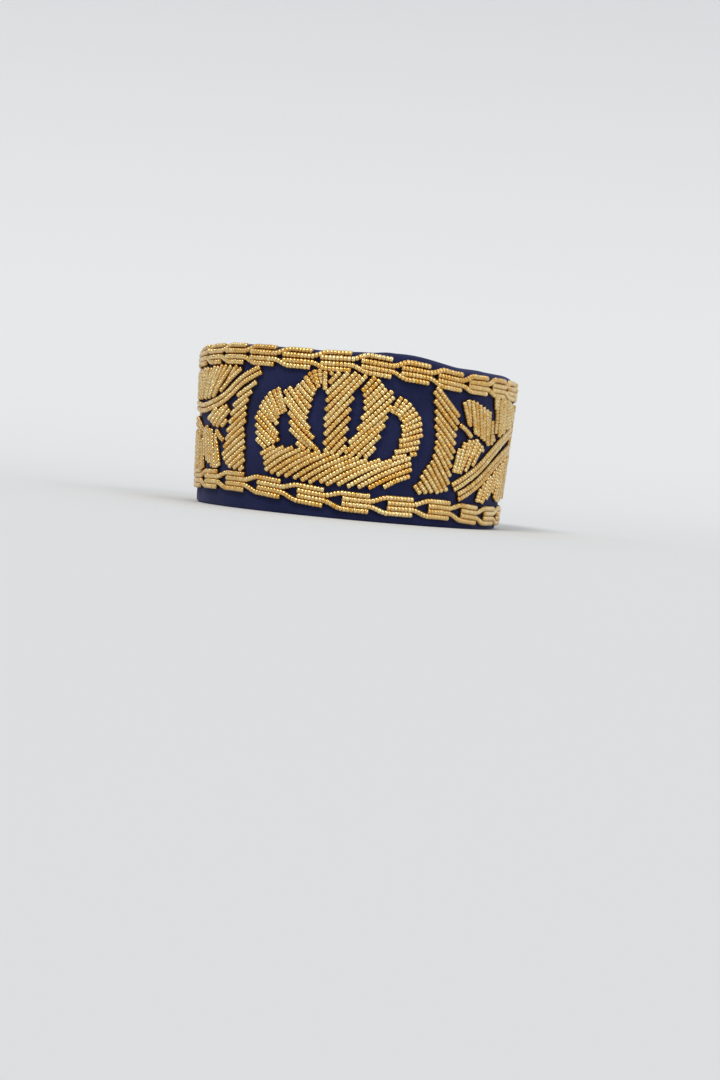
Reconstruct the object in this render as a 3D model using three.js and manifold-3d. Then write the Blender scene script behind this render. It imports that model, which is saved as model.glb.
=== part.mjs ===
// An oval pillbox cap in navy velvet, embroidered with strands of gold beads, at its real size.
// Millimetres, +Z up. The origin is the middle of the oval on the plane that the rim rests on. The front faces -Y.
//
// Places on the side wall are given as (u, v): u runs along the wall from the middle of the front
// towards +X, and v runs up the wall from the rim. A third number, w, stands out from the velvet.
import * as THREE from "three";
import { mergeVertices } from "three/addons/utils/BufferGeometryUtils.js";
import Module from "manifold-3d";

const wasm = await Module();
wasm.setup();

// The cap
const RIM_HALF_WIDTH = 89;
const TOP_HALF_WIDTH = 93;
const LENGTH_RATIO = 1.08; // front to back over side to side
const WALL_HEIGHT = 90;
const SHOULDER_RADIUS = 6;
const DOME_RISE = 3; // middle of the top over its edge
const VELVET_WALL = 2; // pile, cloth and stiffening together
const LINING_WALL = 1;
const GAP = 0.5; // between two pieces that lie together
const RIM_ROUNDING = 0.5;
const LINING_LIFT = 5; // the turned-up velvet hem shows below the lining
const WALL_FACETS = 60;
const MOTIF_FACETS = 64; // round the whole wall

// The beads
const STRAND_PITCH = 3.1; // from one strand of beads to the next
const BEAD_HEIGHT = 2.8; // above the velvet, with the bead a little way into the pile

// How far the top edge rises or dips, by the turn in degrees from the front towards +X
const EDGE_WAVE = [
  { turn: -180, height: 0 },
  { turn: -95, height: 0.3 },
  { turn: -45, height: 1 },
  { turn: -6, height: -0.8 },
  { turn: 22, height: 1.6 },
  { turn: 45, height: -2 },
  { turn: 100, height: -0.4 },
  { turn: 180, height: 0 },
];

// The two chains of beads: each link holds four lanes of beads, and the inner two open outwards to
// become the outer two of the next link. Neither chain is quite level: line gives its middle.
// lead is how far, as a share of a period, a link's inner lanes reach back into the eye before it.
const LANE_PITCH = 2.8;
const CHAIN_HALF = 2 * LANE_PITCH;
const CHAINS = {
  upper_chain: {
    links: 28,
    first: 14,
    lead: 0.17,
    levels: [0, 0.5, 0.67, 0.83, 1],
    line: [
      { turn: -180, height: 82.2 },
      { turn: -35, height: 84 },
      { turn: -1, height: 84.2 },
      { turn: 24, height: 81 },
      { turn: 60, height: 81.6 },
      { turn: 180, height: 82.2 },
    ],
  },
  lower_chain: {
    links: 24,
    first: 7,
    lead: 0,
    levels: [0, 1],
    line: [
      { turn: -180, height: 11.3 },
      { turn: -100, height: 13.5 },
      { turn: -38, height: 14.8 },
      { turn: 12, height: 9.6 },
      { turn: 38, height: 9.8 },
      { turn: 62, height: 8 },
      { turn: 180, height: 11.3 },
    ],
  },
};
const LINK_SHARE = 0.57; // of the chain's period
const NOTCH_SHARE = 0.05;
const CHAIN_STEPS = [0, LINK_SHARE / 2, LINK_SHARE, LINK_SHARE + NOTCH_SHARE]; // of a period

// Each fill is a table of guide strands, in order across it: from u, from v, to u, to v
const CROWN_EMBLEM = {
  base: [
    [-41, 31.5, -33.5, 35.5],
    [-40, 28, -27, 36],
    [-38, 22, -17, 35.5],
    [-28, 20, -4, 35],
    [-12, 18.5, 12, 33.5],
    [0, 17.8, 28, 33.5],
    [10, 17.8, 43, 36.5],
    [20, 18, 42.5, 30],
    [28, 19, 42.5, 26.5],
  ],
  left_arch: [
    [-45, 38.8, -39.5, 34.8],
    [-46.2, 43, -36.3, 36.3],
    [-47, 50, -30.8, 37.5],
    [-45.3, 55.5, -32.5, 44],
    [-42, 61, -33.3, 49.5],
    [-38.5, 65.5, -31.5, 53],
    [-34, 68.3, -28.3, 54.8],
  ],
  left_arm: [
    [-20.3, 38.8, -15, 34.8],
    [-24.3, 44.6, -11, 34.8],
    [-25, 49.8, -8.3, 35.3],
    [-27.5, 55.5, -10.3, 40.3],
    [-29.3, 61, -13.8, 46],
    [-30.3, 66.5, -15.3, 50.5],
    [-27.3, 68.8, -15.3, 55],
    [-23.8, 69, -14.3, 60],
    [-21.3, 71.3, -13.3, 63.7],
    [-19, 74.5, -12.3, 67],
    [-15.5, 77.5, -11, 69.3],
    [-11.5, 79, -9.3, 69.8],
    [-7.8, 79, -7, 69.8],
  ],
  middle_post: [
    [2, 34.2, 6.5, 39.5],
    [-3.8, 35.8, 6.5, 48.5],
    [-6, 45, 7, 61],
    [-6, 49.5, 8, 66.5],
    [-6, 53, 13.5, 77.8],
    [-6, 62, 9, 79],
    [-6, 70, 1.5, 79],
    [-5.8, 76.5, -4, 79],
  ],
  right_crest: [
    [12, 69, 18, 77],
    [13.5, 63.5, 22.5, 74],
    [13.5, 57, 26, 70.5],
    [12, 50.5, 29, 68.8],
    [9, 43.5, 30.5, 66],
    [5.8, 37.3, 26.5, 58],
    [8.8, 35, 25.5, 53],
    [12.5, 34.3, 24, 47],
    [16, 33.8, 21.5, 40],
  ],
  right_arch: [
    [28.5, 58.8, 33, 67.5],
    [31.8, 57.8, 37.5, 65.3],
    [34, 55, 42, 61.8],
    [35.3, 51.5, 45.3, 57.5],
    [35.6, 47.5, 46.8, 52.5],
    [34.8, 43.8, 47, 47.8],
    [33.2, 40.4, 46.2, 44.2],
    [31.5, 37.3, 45.2, 41.3],
    [29.8, 34.6, 44.2, 38.6],
  ],
};
const RIGHT_PILLAR = [
  [51, 77.5, 69.5, 62.5],
  [51.5, 72, 69.3, 57],
  [53, 64.5, 69.3, 51],
  [54, 58.5, 69, 45.5],
  [55.8, 52, 68.8, 39],
  [56.5, 46.5, 68.5, 32],
  [56, 41, 68.5, 26],
  [54.5, 36.5, 67.5, 20.5],
  [51.5, 31.5, 62.5, 19],
  [48.5, 26.5, 56.5, 18],
  [46, 21.8, 50, 17.6],
];
const LEFT_PILLAR = [
  [-61.8, 61.5, -48.7, 69.2],
  [-64.5, 56.5, -51, 65],
  [-66.5, 51, -53.3, 60],
  [-68, 45.5, -54.3, 55.5],
  [-69.8, 39.5, -54.5, 50.5],
  [-71.5, 33, -54.8, 44.5],
  [-72, 27, -54.8, 38.5],
  [-68, 23, -54.3, 32.8],
  [-62, 21.8, -53.5, 27.5],
  [-57, 21.2, -53.5, 23.5],
];
const LEAVES = {
  upper_leaf: [
    [72.5, 71, 78.8, 58.3],
    [76, 72.5, 82.8, 54.6],
    [82, 71.5, 88, 52.5],
    [87.5, 70.5, 93.2, 51],
    [92, 69, 97.2, 49.3],
    [96.5, 67, 100.4, 48],
    [100.3, 62.8, 103, 49],
    [103.2, 58.5, 105.8, 50.9],
  ],
  fan_leaf: [
    [71, 31, 73.3, 44.5],
    [74, 30.3, 77.5, 49],
    [77.3, 30.6, 83, 50.8],
    [80.8, 32, 88.3, 50.3],
    [84.5, 34.6, 92.5, 48.7],
    [88.3, 38.6, 95.3, 46],
  ],
  long_leaf: [
    [100.8, 77.3, 103.4, 69],
    [104, 77.3, 109.2, 55.3],
    [108, 77, 113.3, 54.3],
    [113.5, 76.5, 118.8, 57],
    [119.5, 76, 125, 58.7],
    [126, 75.3, 131, 60.3],
    [132.5, 74, 137, 62.3],
    [137.5, 72, 140.3, 65],
  ],
  low_leaf: [
    [94.5, 14.5, 97, 23],
    [99, 15, 103, 28],
    [104, 16.5, 110, 32.2],
    [109, 19, 116.5, 35.8],
    [113.5, 22, 121, 37.6],
  ],
  back_leaf: [
    [118.6, 18, 125.8, 39],
    [123.8, 16.5, 130.3, 41],
    [130, 16.8, 135.5, 42.3],
    [137, 19, 140.5, 42.5],
  ],
};
const FRONT_LEFT_LEAVES = {
  upper_leaf: [
    [-60.5, 76, -77.5, 64.3],
    [-64.5, 78, -83, 62],
    [-71, 78, -88, 61],
    [-78, 78, -93, 60.3],
    [-85, 77.5, -98, 59.8],
    [-91, 76.5, -102.5, 59.5],
  ],
  middle_leaf: [
    [-70, 48.3, -75, 44.7],
    [-67.2, 52.5, -79.5, 43.8],
    [-70, 56, -84, 45],
    [-76, 55.3, -89, 46.8],
    [-83, 51.8, -97, 48],
  ],
  fan_leaf: [
    [-81, 36.5, -76, 22.3],
    [-84.5, 40.5, -79.3, 21.5],
    [-88.3, 42.4, -82.8, 21.3],
    [-92.5, 43.7, -86.5, 21.8],
    [-97, 44.3, -90.5, 24.5],
    [-100, 42.5, -95.5, 27.5],
  ],
  long_leaf: [
    [-95.8, 77, -106.6, 60],
    [-104, 76.8, -113.5, 59.5],
    [-111, 76.5, -119.5, 60],
    [-119, 76, -127, 60.5],
    [-127, 75, -134, 61.3],
    [-134, 73, -140, 63],
  ],
  low_leaf: [
    [-98.8, 20, -101.8, 34.5],
    [-105, 19, -108, 38.5],
    [-111.5, 19.5, -116, 40.5],
    [-115.2, 20.5, -120.3, 41],
  ],
  back_leaf: LEAVES.back_leaf.map(([u0, v0, u1, v1]) => [-u0, v0, -u1, v1]),
};

// Each stem is a path of u, v that its lanes of beads lie side by side on
const STEMS = {
  thorn: { lanes: 1, path: [[71.5, 57.6], [75.3, 55.9], [78.7, 53.8], [81.3, 51.9]] },
  upper_stem: {
    lanes: 2,
    path: [[71.5, 22.5], [80, 27], [92, 34.3], [104, 43], [116, 50.3], [130, 55.8], [143.5, 58.5]],
  },
  lower_stem: {
    lanes: 2,
    path: [[76.5, 17.5], [84, 21], [94, 26.8], [104, 33.5], [116, 40.3], [130, 45.5], [143.5, 47.8]],
  },
};
const FRONT_LEFT_STEMS = {
  thorn: { lanes: 1, path: [[-72.5, 36.3], [-77, 39], [-81.5, 42.2]] },
  upper_stem: {
    lanes: 2,
    path: [
      [-45.5, 76.5], [-52, 73.5], [-60, 69.2], [-68, 63.5], [-77, 59],
      [-90, 55.8], [-104, 54.5], [-124, 56], [-143.5, 57.5],
    ],
  },
  lower_stem: { lanes: 2, path: [[-104, 41], [-110, 43.8], [-118, 45.9], [-130, 47.2], [-143.5, 47.8]] },
};
const STALK = { lanes: 2, from: 19, to: 74 }; // upright in the middle of each side

const COLOURS = {
  velvet: { color: 0x1b1b33, roughness: 0.95, metalness: 0 },
  lining: { color: 0x24335f, roughness: 0.6, metalness: 0 },
  beads: { color: 0xc39a45, roughness: 0.3, metalness: 0.9 },
};

// Arc length round the oval at mid height, from the front towards +X, one entry for each step of angle
const ARC_STEPS = 1440;
const MIDDLE = { halfWidth: (RIM_HALF_WIDTH + TOP_HALF_WIDTH) / 2 };
MIDDLE.halfLength = MIDDLE.halfWidth * LENGTH_RATIO;
const arcs = [0];
for (let i = 1; i <= ARC_STEPS; i++) {
  const angle = (2 * Math.PI * (i - 0.5)) / ARC_STEPS;
  const speed = Math.hypot(MIDDLE.halfWidth * Math.cos(angle), MIDDLE.halfLength * Math.sin(angle));
  arcs.push(arcs[i - 1] + (speed * 2 * Math.PI) / ARC_STEPS);
}
const PERIMETER = arcs[ARC_STEPS];

function angleAt(u) {
  const along = THREE.MathUtils.euclideanModulo(u, PERIMETER);
  let low = 0;
  let high = ARC_STEPS;
  while (high - low > 1) {
    const half = (low + high) >> 1;
    if (arcs[half] <= along) low = half;
    else high = half;
  }
  return (2 * Math.PI * (low + (along - arcs[low]) / (arcs[high] - arcs[low]))) / ARC_STEPS;
}

// The height in a table of turns at this angle, eased from one row to the next
function eased(table, angle) {
  const turn = THREE.MathUtils.euclideanModulo(THREE.MathUtils.radToDeg(angle) + 180, 360) - 180;
  const next = table.findIndex((row) => row.turn > turn);
  const [a, b] = [table[next - 1], table[next]];
  return THREE.MathUtils.lerp(a.height, b.height, THREE.MathUtils.smoothstep(turn, a.turn, b.turn));
}

// The point at an angle, an inset from the velvet's outer face and a height, before the top edge waves.
// Past CORE_INSET the ovals only shrink towards the middle, so that they close there.
const FORM_RADIUS = 90;
const CORE_INSET = 14;
function ovalPoint(angle, inset, height) {
  const share = Math.min(height, WALL_HEIGHT) / WALL_HEIGHT;
  const halfWidth = THREE.MathUtils.lerp(RIM_HALF_WIDTH, TOP_HALF_WIDTH, share);
  const halfLength = halfWidth * LENGTH_RATIO;
  const normal = new THREE.Vector2(Math.sin(angle) / halfWidth, -Math.cos(angle) / halfLength).normalize();
  const shrink = inset > CORE_INSET ? (FORM_RADIUS - inset) / (FORM_RADIUS - CORE_INSET) : 1;
  const step = Math.min(inset, CORE_INSET);
  return new THREE.Vector2(halfWidth * Math.sin(angle), -halfLength * Math.cos(angle))
    .addScaledVector(normal, -step)
    .multiplyScalar(shrink);
}

function waved(angle, inset, height) {
  const nearEdge = Math.max(0, 1 - Math.max(0, inset) / FORM_RADIUS);
  return height + eased(EDGE_WAVE, angle) * nearEdge * Math.pow(Math.min(1, Math.max(0, height / WALL_HEIGHT)), 3);
}

function placed(angle, inset, height) {
  const point = ovalPoint(angle, inset, height);
  return new THREE.Vector3(point.x, point.y, waved(angle, inset, height));
}

// A place on the wall: v follows the velvet up the wall and over the shoulder, and w stands out from it
function onWall(u, v, w) {
  const bend = Math.max(0, v - (WALL_HEIGHT - SHOULDER_RADIUS)) / SHOULDER_RADIUS;
  const inset = SHOULDER_RADIUS * (1 - Math.cos(bend)) - w * Math.cos(bend);
  const height = Math.min(v, WALL_HEIGHT - SHOULDER_RADIUS) + (SHOULDER_RADIUS + w) * Math.sin(bend);
  return placed(angleAt(u), inset, height);
}

// Every vertex of a geometry moved by a function
function moved(geometry, place) {
  const position = geometry.getAttribute("position");
  const point = new THREE.Vector3();
  for (let i = 0; i < position.count; i++) {
    point.fromBufferAttribute(position, i);
    const to = place(point);
    position.setXYZ(i, to.x, to.y, to.z);
  }
  return geometry;
}

// A closed profile of [inset, height] carried round the oval: a lathe on a round form, then stretched over it
function carriedRound(profile) {
  const points = profile.map(([inset, height]) => new THREE.Vector2(FORM_RADIUS - inset, height));
  return moved(new THREE.LatheGeometry(points, WALL_FACETS), (p) =>
    placed(Math.atan2(p.x, p.z), FORM_RADIUS - Math.hypot(p.x, p.z), p.y),
  );
}

// The quarter circle of the shoulder at a depth under the velvet, from the top inwards or back
function shoulder(depth, steps) {
  const radius = SHOULDER_RADIUS - depth;
  return Array.from({ length: steps + 1 }, (_, i) => {
    const bend = (Math.PI / 2) * (i / steps);
    return [SHOULDER_RADIUS - radius * Math.cos(bend), WALL_HEIGHT - SHOULDER_RADIUS + radius * Math.sin(bend)];
  });
}

function domeHeight(inset, depth) {
  const share = (FORM_RADIUS - inset) / (FORM_RADIUS - SHOULDER_RADIUS);
  return WALL_HEIGHT - depth + DOME_RISE * (1 - share * share);
}

function dome(depth, outermost, steps) {
  return Array.from({ length: steps + 1 }, (_, i) => {
    const inset = THREE.MathUtils.lerp(outermost, FORM_RADIUS, i / steps);
    return [inset, domeHeight(inset, depth)];
  });
}

// The side wall: a flat rim, an upright face and the shoulder that turns over to the top seam
function sideWall() {
  return carriedRound([
    [VELVET_WALL, RIM_ROUNDING],
    [VELVET_WALL - RIM_ROUNDING, 0],
    [RIM_ROUNDING, 0],
    [0, RIM_ROUNDING],
    ...shoulder(0, 3),
    ...shoulder(VELVET_WALL, 2).reverse(),
    [VELVET_WALL, RIM_ROUNDING],
  ]);
}

// The top: a slightly domed oval disc that the side wall is sewn round
function topPanel() {
  const edge = SHOULDER_RADIUS + GAP;
  return carriedRound([...dome(VELVET_WALL, edge, 4).reverse(), ...dome(0, edge, 4)]);
}

// The lining: a cup of thin cloth inside the wall and the top
function lining() {
  const outside = VELVET_WALL + GAP;
  const inside = outside + LINING_WALL;
  const cup = (depth) => [...shoulder(depth, 2), ...dome(depth, 2 * SHOULDER_RADIUS, 3)];
  return carriedRound([
    ...cup(inside).reverse(),
    [inside, LINING_LIFT],
    [outside, LINING_LIFT],
    ...cup(outside),
  ]);
}

// A closed geometry as a solid for cutting and joining, and back
function toSolid(geometry) {
  const bare = geometry.index ? geometry.toNonIndexed() : geometry;
  const merged = mergeVertices(new THREE.BufferGeometry().setAttribute("position", bare.getAttribute("position")), 1e-3);
  const mesh = new wasm.Mesh({
    numProp: 3,
    vertProperties: merged.getAttribute("position").array,
    triVerts: new Uint32Array(merged.index.array),
  });
  return new wasm.Manifold(mesh);
}

function toGeometry(solid) {
  const mesh = solid.getMesh();
  return new THREE.BufferGeometry()
    .setAttribute("position", new THREE.BufferAttribute(mesh.vertProperties, 3))
    .setIndex(new THREE.BufferAttribute(mesh.triVerts, 1));
}

// The height of a chain's middle line at a place along the wall
function chainHeight(chain, u) {
  return eased(chain.line, angleAt(u));
}

// A band round the wall, from GAP to BEAD_HEIGHT off the velvet, between two heights that change with u.
// Its faces have an edge at each of the levels, which are shares of its height.
function band(stations, low, high, levels) {
  const corners = [...levels.map((up) => [1, up]), ...levels.map((up) => [0, up]).reverse(), [1, levels[0]]];
  const profile = corners.map(([out, up]) => new THREE.Vector2(FORM_RADIUS + out, up));
  const lathe = new THREE.LatheGeometry(profile, stations.length);
  return moved(lathe, (p) => {
    const turn = THREE.MathUtils.euclideanModulo(Math.atan2(p.x, p.z) / (2 * Math.PI), 1);
    const station = stations[Math.round(turn * stations.length) % stations.length];
    const out = Math.hypot(p.x, p.z) - FORM_RADIUS;
    const v = THREE.MathUtils.lerp(low(station), high(station), p.y);
    return onWall(station.u, v, THREE.MathUtils.lerp(GAP, BEAD_HEIGHT, out));
  });
}

// A flat shape in (u, v) carried out through the wall's face, to cut a band with
const CUT_DEPTH = 1.5;
const CUT_REACH = 25; // so that its long flat triangles stay outside the band
function cutter(points) {
  const shape = new THREE.Shape(points.map(([u, v]) => new THREE.Vector2(u, v)));
  const block = new THREE.ExtrudeGeometry(shape, { depth: 1, bevelEnabled: false });
  return toSolid(moved(block, (p) => onWall(p.x, p.y, p.z > 0.5 ? CUT_REACH : -CUT_DEPTH)));
}

// A chain: its two edges drop in after each link, and an eye of velvet shows between two links
function chainPlate(chain) {
  const period = PERIMETER / chain.links;
  const notch = LANE_PITCH;
  const stations = [];
  for (let link = 0; link < chain.links; link++) {
    for (const share of CHAIN_STEPS) {
      const past = share < LINK_SHARE + NOTCH_SHARE / 2 ? 0 : (1 - share) / (1 - LINK_SHARE - NOTCH_SHARE);
      stations.push({ u: chain.first + (link + share) * period, tuck: notch * past });
    }
  }
  const half = (station) => CHAIN_HALF - station.tuck;
  let solid = toSolid(
    band(stations, (s) => chainHeight(chain, s.u) - half(s), (s) => chainHeight(chain, s.u) + half(s), chain.levels),
  );
  for (let link = 0; link < chain.links; link++) {
    const start = chain.first + (link + LINK_SHARE + NOTCH_SHARE) * period;
    const end = chain.first + (link + 1 - chain.lead) * period;
    const middle = chainHeight(chain, start);
    const open = (CHAIN_HALF - STRAND_PITCH) * (1 - chain.lead / (1 - LINK_SHARE - NOTCH_SHARE));
    solid = solid.subtract(
      cutter([
        [start, middle],
        [end, middle - open],
        [end, middle + open],
      ]),
    );
  }
  return toGeometry(solid);
}

// The outline of a fill: half a strand is added beyond its first and last guide
function fillOutline(guides) {
  const shifted = (guide, neighbour) => {
    const along = new THREE.Vector2(guide[2] - guide[0], guide[3] - guide[1]).normalize();
    const across = new THREE.Vector2(-along.y, along.x);
    const fromU = guide[0] + guide[2] - neighbour[0] - neighbour[2];
    const fromV = guide[1] + guide[3] - neighbour[1] - neighbour[3];
    const away = across.dot(new THREE.Vector2(fromU, fromV));
    across.multiplyScalar(Math.sign(away) * (STRAND_PITCH / 2));
    return [guide[0] + across.x, guide[1] + across.y, guide[2] + across.x, guide[3] + across.y];
  };
  const all = [
    shifted(guides[0], guides[1]),
    ...guides.slice(1, -1),
    shifted(guides.at(-1), guides.at(-2)),
  ];
  return [...all.map((guide) => [guide[0], guide[1]]), ...all.reverse().map((guide) => [guide[2], guide[3]])];
}

// The outline of a stem: its path, widened by its lanes
function stemOutline({ path, lanes }) {
  const steps = 2 * (path.length - 1);
  const curve = new THREE.SplineCurve(path.map(([u, v]) => new THREE.Vector2(u, v)));
  const half = (lanes * STRAND_PITCH) / 2;
  const edges = [[], []];
  for (let i = 0; i <= steps; i++) {
    const point = curve.getPointAt(i / steps);
    const along = curve.getTangentAt(i / steps);
    edges[0].push([point.x + along.y * half, point.y - along.x * half]);
    edges[1].push([point.x - along.y * half, point.y + along.x * half]);
  }
  return [...edges[0], ...edges[1].reverse()];
}

// The space between the two chains, as thick as the beads, which every motif is cut from
const fieldStations = Array.from({ length: MOTIF_FACETS }, (_, i) => ({ u: (PERIMETER * i) / MOTIF_FACETS }));
const field = toSolid(
  band(
    fieldStations,
    (s) => chainHeight(CHAINS.lower_chain, s.u) + CHAIN_HALF + GAP,
    (s) => chainHeight(CHAINS.upper_chain, s.u) - CHAIN_HALF - GAP,
    [0, 1],
  ),
);

// A motif: what one or more outlines, joined, cut out of the field
function plate(outlines) {
  return toGeometry(outlines.map(cutter).reduce((whole, part) => whole.add(part)).intersect(field));
}

// The four quarters of the wall: what is drawn at u on the front +X quarter is turned over to the others
const QUARTERS = {
  front_right: (u) => u,
  front_left: (u) => -u,
  back_right: (u) => PERIMETER / 2 - u,
  back_left: (u) => u - PERIMETER / 2,
};
const turnedGuides = (guides, turn) => guides.map(([u0, v0, u1, v1]) => [turn(u0), v0, turn(u1), v1]);

const cap = new THREE.Group();
function add(name, geometry, look) {
  const mesh = new THREE.Mesh(geometry, new THREE.MeshStandardMaterial(COLOURS[look]));
  mesh.name = name;
  cap.add(mesh);
}

add("side_wall", sideWall(), "velvet");
add("top_panel", topPanel(), "velvet");
add("lining", lining(), "lining");

for (const [name, chain] of Object.entries(CHAINS)) add(name, chainPlate(chain), "beads");

const emblemAt = (shift) =>
  plate(Object.values(CROWN_EMBLEM).map((guides) => fillOutline(turnedGuides(guides, (u) => u + shift))));
add("crown_emblem_front", emblemAt(0), "beads");
add("crown_emblem_back", emblemAt(PERIMETER / 2), "beads");

for (const [quarter, turn] of Object.entries(QUARTERS)) {
  const seen = quarter === "front_left";
  const turnedPath = ({ path, lanes }) => ({ path: path.map(([u, v]) => [turn(u), v]), lanes });
  add("pillar_" + quarter, plate([fillOutline(seen ? LEFT_PILLAR : turnedGuides(RIGHT_PILLAR, turn))]), "beads");
  for (const [name, guides] of Object.entries(seen ? FRONT_LEFT_LEAVES : LEAVES)) {
    add(name + "_" + quarter, plate([fillOutline(seen ? guides : turnedGuides(guides, turn))]), "beads");
  }
  for (const [name, stem] of Object.entries(seen ? FRONT_LEFT_STEMS : STEMS)) {
    add(name + "_" + quarter, plate([stemOutline(seen ? stem : turnedPath(stem))]), "beads");
  }
}
for (const [side, u] of [["right", PERIMETER / 4], ["left", -PERIMETER / 4]]) {
  const half = (STALK.lanes * STRAND_PITCH) / 2;
  const corners = [[u - half, STALK.from], [u + half, STALK.from], [u + half, STALK.to], [u - half, STALK.to]];
  add("side_stalk_" + side, plate([corners]), "beads");
}

export default cap;
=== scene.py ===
# %% [markdown]
# # A pillbox cap in navy velvet, embroidered with strands of gold beads
#
# The cap is a stiff oval drum: an upright wall, a slightly domed top that is sewn into it, and a
# smooth blue lining. Nearly all of its character is beadwork. Glass seed beads are strung on a
# thread, and the strands are sewn down side by side, so that they fill a crown, two pillars and
# sprays of leaves. A chain of strands runs above the hem and another round the top edge.
#
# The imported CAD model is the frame: it gives each piece's place and size. This script replaces its
# plain plates with beads that are laid one by one, and its plain walls with cloth.

import math

import bpy
import numpy as np
from mathutils import Matrix


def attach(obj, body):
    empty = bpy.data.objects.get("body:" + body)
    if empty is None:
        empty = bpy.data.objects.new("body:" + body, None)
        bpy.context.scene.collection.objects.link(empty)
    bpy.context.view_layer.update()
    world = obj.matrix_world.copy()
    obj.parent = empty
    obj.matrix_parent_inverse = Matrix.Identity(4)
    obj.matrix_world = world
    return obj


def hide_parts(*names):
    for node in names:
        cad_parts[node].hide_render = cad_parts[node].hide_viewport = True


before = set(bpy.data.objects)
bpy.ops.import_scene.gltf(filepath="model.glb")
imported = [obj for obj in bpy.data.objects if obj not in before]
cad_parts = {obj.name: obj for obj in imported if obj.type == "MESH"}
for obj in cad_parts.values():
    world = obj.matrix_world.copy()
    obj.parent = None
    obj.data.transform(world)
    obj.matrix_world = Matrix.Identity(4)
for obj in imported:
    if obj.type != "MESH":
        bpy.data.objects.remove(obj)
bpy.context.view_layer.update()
rng = np.random.default_rng(8)

# %% [markdown]
# ## The shape that everything follows
#
# A place on the wall is written (u, v, w) in millimetres: u runs round the cap from the middle of
# the front, v runs up the wall and over its shoulder, and w stands out from the velvet. One
# function turns these into a point. It could be done with a curve and modifiers, but with a
# function every bead can be put exactly where the velvet is, on any side of the cap.

# %% Sizes of the cap in millimetres
MM = 0.001
RIM_HALF_WIDTH = 89.0
TOP_HALF_WIDTH = 93.0
LENGTH_RATIO = 1.08
WALL_HEIGHT = 90.0
SHOULDER_RADIUS = 6.0
DOME_RISE = 3.0
VELVET_WALL = 2.0
LINING_WALL = 1.0
GAP = 0.5
LINING_LIFT = 5.0

# The top edge rises and dips a little, by the turn in degrees from the front
EDGE_WAVE = [(-180, 0), (-95, 0.3), (-45, 1), (-6, -0.8), (22, 1.6), (45, -2), (100, -0.4), (180, 0)]

# %% Arc length round the oval at mid height
MIDDLE_HALF_WIDTH = (RIM_HALF_WIDTH + TOP_HALF_WIDTH) / 2
turns = np.linspace(0, 2 * math.pi, 1441)
half_turns = (turns[1:] + turns[:-1]) / 2
speed = MIDDLE_HALF_WIDTH * np.hypot(np.cos(half_turns), LENGTH_RATIO * np.sin(half_turns))
arcs = np.concatenate([[0], np.cumsum(speed * np.diff(turns))])
PERIMETER = arcs[-1]
print("round the wall: %.1f mm" % PERIMETER)


def angle_at(u):
    """The angle round the oval at a distance u along it, from the table of arc lengths."""
    return np.interp(np.mod(u, PERIMETER), arcs, turns)


def eased(table, angle):
    """The height in a table of (turn, height) rows: 3s^2 - 2s^3 between one row and the next."""
    turn = np.mod(np.degrees(angle) + 180, 360) - 180
    rows, heights = np.array(table, float).T
    i = np.clip(np.searchsorted(rows, turn, side="right") - 1, 0, len(rows) - 2)
    s = (turn - rows[i]) / (rows[i + 1] - rows[i])
    return heights[i] + s * s * (3 - 2 * s) * (heights[i + 1] - heights[i])


# %% A point of the cap from an angle, an inset and a height
# The inset at which the oval closes in the middle, and the one past which it only shrinks
FORM_RADIUS = 90.0
CORE_INSET = 14.0


def placed(angle, inset, height):
    """The oval at a height is an ellipse. A point is moved in from it along its normal by the
    inset, up to CORE_INSET, and past that the ellipse only shrinks, so that it closes in the
    middle. The edge wave lifts the point by the cube of its height and the square of its share of
    the way out from the middle."""
    angle, inset, height = np.broadcast_arrays(angle, inset, height)
    share = np.minimum(height, WALL_HEIGHT) / WALL_HEIGHT
    a = RIM_HALF_WIDTH + share * (TOP_HALF_WIDTH - RIM_HALF_WIDTH)
    b = a * LENGTH_RATIO
    normal_x, normal_y = np.sin(angle) / a, -np.cos(angle) / b
    step = np.minimum(inset, CORE_INSET) / np.hypot(normal_x, normal_y)
    shrink = np.minimum(1, (FORM_RADIUS - inset) / (FORM_RADIUS - CORE_INSET))
    x = (a * np.sin(angle) - step * normal_x) * shrink
    y = (-b * np.cos(angle) - step * normal_y) * shrink
    near_edge = np.clip(1 - np.maximum(0, inset) / FORM_RADIUS, 0, None) ** 2
    wave = eased(EDGE_WAVE, angle) * near_edge * np.clip(height / WALL_HEIGHT, 0, 1) ** 3
    return np.stack([x, y, height + wave], -1)


def on_wall(u, v, w):
    """Below the shoulder v is the height. On it, v turns round a quarter circle of SHOULDER_RADIUS."""
    start = WALL_HEIGHT - SHOULDER_RADIUS
    bend = np.maximum(0, v - start) / SHOULDER_RADIUS
    inset = SHOULDER_RADIUS * (1 - np.cos(bend)) - w * np.cos(bend)
    return placed(angle_at(u), inset, np.minimum(v, start) + (SHOULDER_RADIUS + w) * np.sin(bend))


print("front of the hem, in mm:", on_wall(0, 0, 0).round(1))


# %% [markdown]
# ## Turning arrays into meshes
#
# Cloth is a grid of points that is closed round the cap. A pole closes it where it runs to the
# middle of the top. Blender can recalculate normals, but a thin wall has an inside that must keep
# facing inwards, so the signed volume of the whole shell says which way its faces point, and they
# are turned over if they point the wrong way.

# %% Mesh helpers
def add_piece(name, points, faces, nodes, material):
    """One object at the origin, from points in millimetres and lists of corner numbers."""
    mesh = bpy.data.meshes.new(name)
    mesh.from_pydata(np.asarray(points).reshape(-1, 3) * MM, [], faces)
    mesh.update()
    mesh.shade_smooth()
    mesh.materials.append(material)
    piece = bpy.data.objects.new(name, mesh)
    bpy.context.scene.collection.objects.link(piece)
    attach(piece, "root")
    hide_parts(*nodes)
    return piece


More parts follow.
